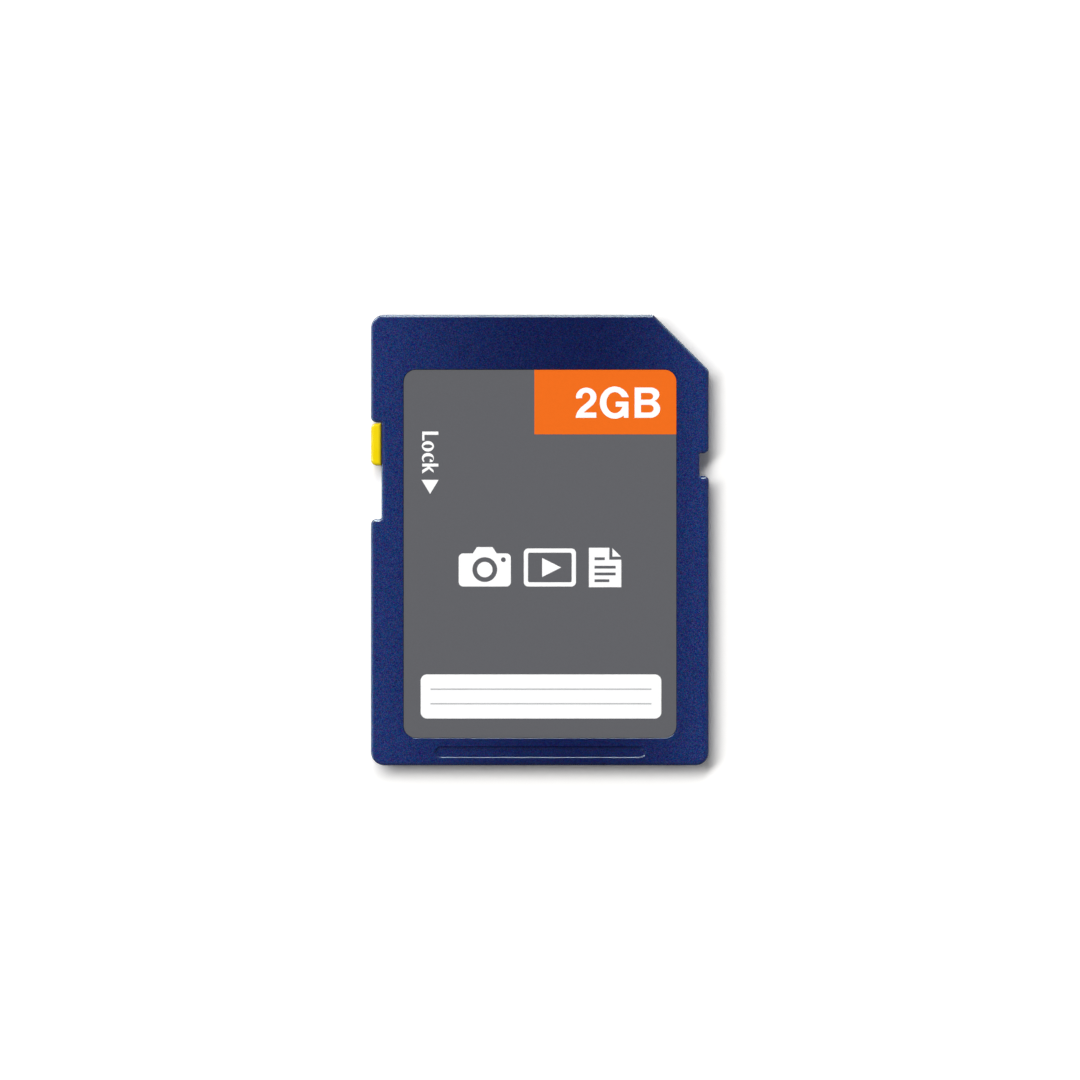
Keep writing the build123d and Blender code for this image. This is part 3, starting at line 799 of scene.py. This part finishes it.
def grown(tree, values):
    """The plain mesh that a geometry tree makes with these values."""
    host = bpy.data.objects.new("host", bpy.data.meshes.new("host"))
    modifier = host.modifiers.new("grow", "NODES")
    modifier.node_group = tree
    for item in tree.interface.items_tree:
        if item.in_out == "INPUT" and item.name in values:
            modifier[item.identifier] = values[item.name]
    bpy.context.scene.collection.objects.link(host)
    return plain_mesh(host)


class CARD_OT_shells(bpy.types.Operator):
    """Gives both shells their moulded blue plastic"""

    bl_idname = "card.shells"
    bl_label = "Finish Shells"

    def execute(self, context):
        dress(moulded_shell(context.scene.card_colours), "front_shell", "back_shell")
        return {"FINISHED"}


class CARD_OT_slider(bpy.types.Operator):
    """Gives the lock slider its smooth yellow plastic"""

    bl_idname = "card.slider"
    bl_label = "Finish Slider"

    def execute(self, context):
        dress(yellow_slider(context.scene.card_colours), "lock_slider")
        return {"FINISHED"}


class CARD_OT_label(bpy.types.Operator):
    """Gives the label its film and prints the colour field on it"""

    bl_idname = "card.label"
    bl_label = "Finish Label"

    def execute(self, context):
        colours = context.scene.card_colours
        places = context.scene.card_print
        dress(label_film(colours), "front_label")
        right = LABEL_HIGH.x / MM
        high = LABEL_HIGH.y / MM
        corner = places.field_corner / MM
        left = places.field_left / MM
        low = places.field_low / MM
        outline = [(left, low), (right, low)]
        outline += arc((right - corner, high - corner), corner, 0.0, 90.0, steps=16)
        outline.append((left, high))
        field = laid(flat_shape([outline]), LABEL_HIGH.z, places.ink)
        field_ink = printed_ink("field_ink", colours.field, PRINT_UNEVENNESS)
        add_piece("colour_field", field, field_ink, "card")
        return {"FINISHED"}


class CARD_OT_lettering(bpy.types.Operator):
    """Prints the capacity figures and the lock word with its arrow"""

    bl_idname = "card.lettering"
    bl_label = "Print Lettering"

    def execute(self, context):
        places = context.scene.card_print
        colours = context.scene.card_colours
        white = printed_ink("white_ink", colours.print_white, PRINT_UNEVENNESS)
        bottom = LABEL_HIGH.z + places.ink
        figures = fitted(
            flat_shape(capacity_outlines()),
            (places.capacity_left, places.capacity_low, bottom),
            (places.capacity_right, places.capacity_high, bottom + places.ink),
        )
        add_piece("capacity_figures", figures, white, "card")
        word = flat_shape(lock_outlines())
        word.transform(Matrix.Rotation(-math.pi / 2, 4, "Z"))
        word = fitted(
            word,
            (places.lock_left, places.lock_low, LABEL_HIGH.z),
            (places.lock_right, places.lock_high, LABEL_HIGH.z + places.ink),
        )
        add_piece("lock_word", word, white, "card")
        middle = (places.lock_left + places.lock_right) / 2 / MM
        half = places.arrow_half / MM
        arrow = [
            (middle - half, places.arrow_high / MM),
            (middle, places.arrow_low / MM),
            (middle + half, places.arrow_high / MM),
        ]
        mark = laid(flat_shape([arrow]), LABEL_HIGH.z, places.ink)
        add_piece("lock_arrow", mark, white, "card")
        return {"FINISHED"}


class CARD_OT_pictograms(bpy.types.Operator):
    """Prints the row of plain pictograms: pictures, films and pages"""

    bl_idname = "card.pictograms"
    bl_label = "Print Pictograms"

    def execute(self, context):
        places = context.scene.card_print
        white = bpy.data.materials.get("white_ink")
        if white is None:
            raise RuntimeError("print the lettering first: the pictograms share its ink")
        row = places.icon_row / MM
        left = places.icon_left / MM
        for name, outlines in (
            ("pictogram_camera", camera_outlines()),
            ("pictogram_film", play_outlines()),
            ("pictogram_page", page_outlines()),
        ):
            half = places.icon_scale * max(x for x, y in outlines[0])
            set_out = [moved(outline, left + half, row, places.icon_scale) for outline in outlines]
            shape = laid(flat_shape(set_out), LABEL_HIGH.z, places.ink)
            add_piece(name, shape, white, "card")
            left += 2 * half + places.icon_gap / MM
        return {"FINISHED"}


class CARD_OT_note_panel(bpy.types.Operator):
    """Prints the white panel to write on, with its ruled lines"""

    bl_idname = "card.note_panel"
    bl_label = "Print Note Panel"

    def execute(self, context):
        places = context.scene.card_print
        colours = context.scene.card_colours
        outline = soft_box(
            places.panel_left / MM,
            places.panel_right / MM,
            places.panel_low / MM,
            places.panel_high / MM,
            places.panel_corner / MM,
        )
        panel = laid(flat_shape([outline]), LABEL_HIGH.z, places.ink)
        panel_ink = printed_ink("panel_ink", colours.print_white, PRINT_UNEVENNESS)
        add_piece("note_panel", panel, panel_ink, "card")
        rule_ink = printed_ink("rule_ink", colours.rule, RULE_UNEVENNESS)
        step = (places.panel_high - places.panel_low) / (places.rule_count + 1)
        rules = grown(
            bars_tree(),
            {
                "Count": places.rule_count,
                "First": (
                    (places.panel_left + places.panel_right) / 2,
                    places.panel_low + step,
                    LABEL_HIGH.z + 1.5 * places.ink,
                ),
                "Step": (0.0, step, 0.0),
                "Bar": (
                    places.panel_right - places.panel_left - 2 * places.rule_margin,
                    places.rule_width,
                    places.ink,
                ),
                "Finish": rule_ink,
            },
        )
        add_piece("note_rules", rules, rule_ink, "card")
        return {"FINISHED"}


class CARD_OT_contacts(bpy.types.Operator):
    """Plates the contact pads and the tails that run from them to the board's edge"""

    bl_idname = "card.contacts"
    bl_label = "Plate Contacts"

    def execute(self, context):
        sizes = context.scene.card_contacts
        gold = gold_plate(context.scene.card_colours)
        dress(gold, *PADS)
        first_x = (FIRST_PAD_LOW.x + FIRST_PAD_HIGH.x) / 2
        second_x = (SECOND_PAD_LOW.x + SECOND_PAD_HIGH.x) / 2
        tail = BOARD_HIGH.y - FIRST_PAD_HIGH.y
        tails = grown(
            bars_tree(),
            {
                "Count": TAILS,
                "First": (first_x, FIRST_PAD_HIGH.y + tail / 2, BOARD_LOW.z - sizes.tail_plate / 2),
                "Step": (second_x - first_x, 0.0, 0.0),
                "Bar": (sizes.tail_width, tail, sizes.tail_plate),
                "Finish": gold,
            },
        )
        add_piece("contact_tails", tails, gold, "card")
        return {"FINISHED"}


class CARD_OT_electronics(bpy.types.Operator):
    """Finishes the circuit board and everything soldered to it"""

    bl_idname = "card.electronics"
    bl_label = "Finish Electronics"

    def execute(self, context):
        colours = context.scene.card_colours
        dress(solder_mask(colours), "circuit_board")
        for name, base, cell, contrast, nodes in (
            ("chip_moulding", colours.moulding, 0.08 * MM, 0.8, ["flash_chip", "controller_chip"]),
            ("capacitor_ceramic", colours.capacitor, 0.10 * MM, 0.2, CAPACITORS),
            ("resistor_glaze", colours.resistor, 0.10 * MM, 0.5, RESISTORS),
        ):
            dress(dull_compound(name, base, cell, contrast), *nodes)
        dress(tin_plate(colours), "flash_leads", "controller_terminals")
        return {"FINISHED"}


def studio_world(stage):
    """Pale walls under a dark flag overhead, with no light from below; the camera sees plain white."""
    world = bpy.data.worlds.new("studio")
    world.use_nodes = True
    world.node_tree.nodes.clear()
    studio = Nodes(world.node_tree)
    heading = studio.node("ShaderNodeTexCoord").outputs["Generated"]
    height = studio.along(heading, "Z")
    level = studio.spread(
        height, FLAG_BEGINS, FLAG_FULL, stage.dome_level, stage.ceiling_level, smooth=True
    )
    above = studio.maths("MULTIPLY", level, studio.maths("GREATER_THAN", height, 0.0))
    towards = studio.reach(heading, BRIGHT_WALL)
    lean = studio.spread(towards, -1.0, 1.0, 1.0 - stage.dome_lean, 1.0 + stage.dome_lean)
    walls = studio.node("ShaderNodeBackground")
    walls.inputs["Color"].default_value = WHITE
    studio.link(studio.maths("MULTIPLY", above, lean), walls.inputs["Strength"])
    plain = studio.node("ShaderNodeBackground")
    plain.inputs["Color"].default_value = WHITE
    seen = studio.node("ShaderNodeLightPath").outputs["Is Camera Ray"]
    shown = studio.choose(seen, walls.outputs["Background"], plain.outputs["Background"])
    studio.link(shown, studio.node("ShaderNodeOutputWorld").inputs["Surface"])
    return world


def floor_paper(stage):
    """White paper that keeps the shadow; it is lifted to white for the eye and clear from below.

    Reflections show it white too, except at the lower left, where they find it dark.
    """
    material = bpy.data.materials.new("floor_paper")
    material.use_nodes = True
    material.node_tree.nodes.clear()
    floor = Nodes(material.node_tree)
    path = floor.node("ShaderNodeLightPath").outputs
    surface = floor.node("ShaderNodeNewGeometry").outputs
    pale_side = floor.spread(floor.reach(surface["Position"], FLOOR_HEADING), FLOOR_DARK, 0.0)
    mirrored = floor.maths("MULTIPLY", path["Is Glossy Ray"], pale_side)
    lift = floor.node("ShaderNodeMix", data_type="VECTOR")
    floor.link(
        floor.maths("MAXIMUM", path["Is Camera Ray"], mirrored), socket(lift.inputs, "Factor_Float")
    )
    socket(lift.inputs, "A_Vector").default_value = (stage.floor, stage.floor, stage.floor)
    socket(lift.inputs, "B_Vector").default_value = stage.floor_lift
    paper = floor.node("ShaderNodeBsdfDiffuse")
    floor.link(socket(lift.outputs, "Result_Vector"), paper.inputs["Color"])
    clear = floor.node("ShaderNodeBsdfTransparent")
    through = floor.maths("MAXIMUM", surface["Backfacing"], path["Is Shadow Ray"])
    shown = floor.choose(through, paper.outputs["BSDF"], clear.outputs["BSDF"])
    floor.link(shown, floor.node("ShaderNodeOutputMaterial").inputs["Surface"])
    return material


def add_floor(stage):
    """A wide sheet of paper under the card."""
    mesh = bpy.data.meshes.new("floor")
    corners = [
        (-FLOOR_HALF, -FLOOR_HALF, 0.0),
        (FLOOR_HALF, -FLOOR_HALF, 0.0),
        (FLOOR_HALF, FLOOR_HALF, 0.0),
        (-FLOOR_HALF, FLOOR_HALF, 0.0),
    ]
    mesh.from_pydata(corners, [], [(0, 1, 2, 3)])
    mesh.materials.append(floor_paper(stage))
    floor = bpy.data.objects.new("floor", mesh)
    bpy.context.scene.collection.objects.link(floor)


def add_lamp(name, heading, distance, power, **settings):
    """An area lamp in a direction from the card, turned to face it and hidden from the camera."""
    data = bpy.data.lights.new(name, "AREA")
    data.energy = power
    for key, value in settings.items():
        setattr(data, key, value)
    lamp = bpy.data.objects.new(name, data)
    towards = Vector(heading).normalized()
    lamp.location = towards * distance
    lamp.rotation_mode = "QUATERNION"
    lamp.rotation_quaternion = towards.to_track_quat("Z", "Y")
    lamp.visible_camera = False
    bpy.context.scene.collection.objects.link(lamp)
    return lamp


def add_lamps(stage):
    """The key that casts the shadow, the rim lamps, and a soft one for the back."""
    level = math.sin(stage.key_zenith)
    key = add_lamp(
        "key",
        heading=(KEY_X * level, KEY_Y * level, math.cos(stage.key_zenith)),
        distance=stage.key_distance,
        power=stage.key_power,
        shape="ELLIPSE",
        size=stage.key_long,
        size_y=stage.key_short,
    )
    key.visible_glossy = False
    for rim in RIM_LAMPS:
        lamp = add_lamp(
            rim.name,
            rim.heading,
            rim.distance,
            rim.power,
            shape="RECTANGLE",
            color=rim.colour,
            size_y=rim.height,
            size=rim.width,
        )
        lamp.visible_diffuse = False
    add_lamp(
        "under", heading=(-0.3, -0.25, -1.0), distance=0.35, power=1.1, shape="SQUARE", size=0.35
    )


def add_camera(stage):
    """A long lens straight above the card."""
    data = bpy.data.cameras.new("camera")
    data.lens = stage.lens
    data.sensor_width = SENSOR_WIDTH
    data.clip_start = CLIP_START
    data.clip_end = CLIP_END
    camera = bpy.data.objects.new("camera", data)
    camera.location = (0.0, 0.0, CAD_BOX[1].z + stage.camera_height)
    bpy.context.scene.collection.objects.link(camera)
    bpy.context.scene.camera = camera


class CARD_OT_stage(bpy.types.Operator):
    """Lays the floor and sets the lamps and the camera"""

    bl_idname = "card.stage"
    bl_label = "Set Stage"

    def execute(self, context):
        stage = context.scene.card_stage
        context.scene.view_settings.view_transform = "Standard"
        context.scene.world = studio_world(stage)
        add_floor(stage)
        add_lamps(stage)
        add_camera(stage)
        return {"FINISHED"}


class CARD_PT_finish(bpy.types.Panel):
    """Lists the steps of the finish and the values that they use"""

    bl_idname = "CARD_PT_finish"
    bl_label = "Memory Card"
    bl_space_type = "VIEW_3D"
    bl_region_type = "UI"
    bl_category = "Memory Card"

    def draw(self, context):
        for step in STEPS:
            self.layout.operator(step.bl_idname)
        for name, group in GROUPS:
            box = self.layout.box()
            box.label(text=group.__doc__)
            for key in group.__annotations__:
                box.prop(getattr(context.scene, name), key)


STEPS = (
    CARD_OT_shells,
    CARD_OT_slider,
    CARD_OT_label,
    CARD_OT_lettering,
    CARD_OT_pictograms,
    CARD_OT_note_panel,
    CARD_OT_contacts,
    CARD_OT_electronics,
    CARD_OT_stage,
)
GROUPS = (
    ("card_colours", CardColours),
    ("card_print", CardPrint),
    ("card_contacts", CardContacts),
    ("card_stage", CardStage),
)


def register():
    """Registers the values, the steps and the panel."""
    for name, group in GROUPS:
        bpy.utils.register_class(group)
        setattr(bpy.types.Scene, name, PointerProperty(type=group))
    for step in STEPS:
        bpy.utils.register_class(step)
    bpy.utils.register_class(CARD_PT_finish)


def unregister():
    """Takes the panel, the steps and the values away again."""
    bpy.utils.unregister_class(CARD_PT_finish)
    for step in reversed(STEPS):
        bpy.utils.unregister_class(step)
    for name, group in reversed(GROUPS):
        delattr(bpy.types.Scene, name)
        bpy.utils.unregister_class(group)


def main():
    """Runs every step in order."""
    register()
    bpy.ops.card.shells()
    bpy.ops.card.slider()
    bpy.ops.card.label()
    bpy.ops.card.lettering()
    bpy.ops.card.pictograms()
    bpy.ops.card.note_panel()
    bpy.ops.card.contacts()
    bpy.ops.card.electronics()
    bpy.ops.card.stage()


if __name__ == "__main__":
    main()
